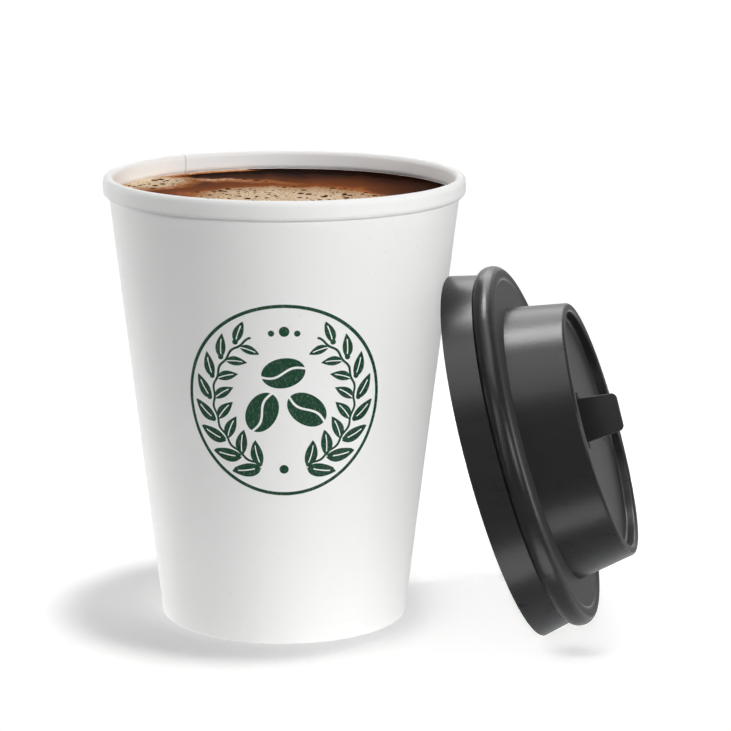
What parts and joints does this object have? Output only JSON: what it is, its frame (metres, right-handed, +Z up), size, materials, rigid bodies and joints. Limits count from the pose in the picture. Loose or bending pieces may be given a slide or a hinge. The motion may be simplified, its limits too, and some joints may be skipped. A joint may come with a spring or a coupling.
{
  "type": "paper coffee cup",
  "caption": "Takeaway paper cup filled with coffee, with its glossy black plastic lid leaning against the side. The lid's sip tab turns on a small hinge.",
  "frame": {"origin": "middle of the cup's foot ring, on the table", "axes": "+Z up along the cup's axis, +X towards the side where the lid leans, -Y the front of the cup"},
  "size_m": [0.1342, 0.1066, 0.112],
  "materials": {
    "cup_paper": "matte white board with faint grey flecks, printed in dark green",
    "coffee": "liquid with patches of tan crema",
    "lid_plastic": "glossy black moulded plastic"
  },
  "bodies": {
    "cup": {"cup_wall": "cup_paper", "cup_base": "cup_paper", "coffee": "coffee", "lid": "lid_plastic"},
    "tab": {"sip_tab": "lid_plastic"}
  },
  "joints": [
    {"name": "sip_tab_hinge", "type": "hinge", "parent": "cup", "child": "tab", "pos_m": [0.07098, -0.036, 0.05756], "axis": [0.2112, -0.3978, -0.8928], "range_deg": [-90, 90]}
  ]
}
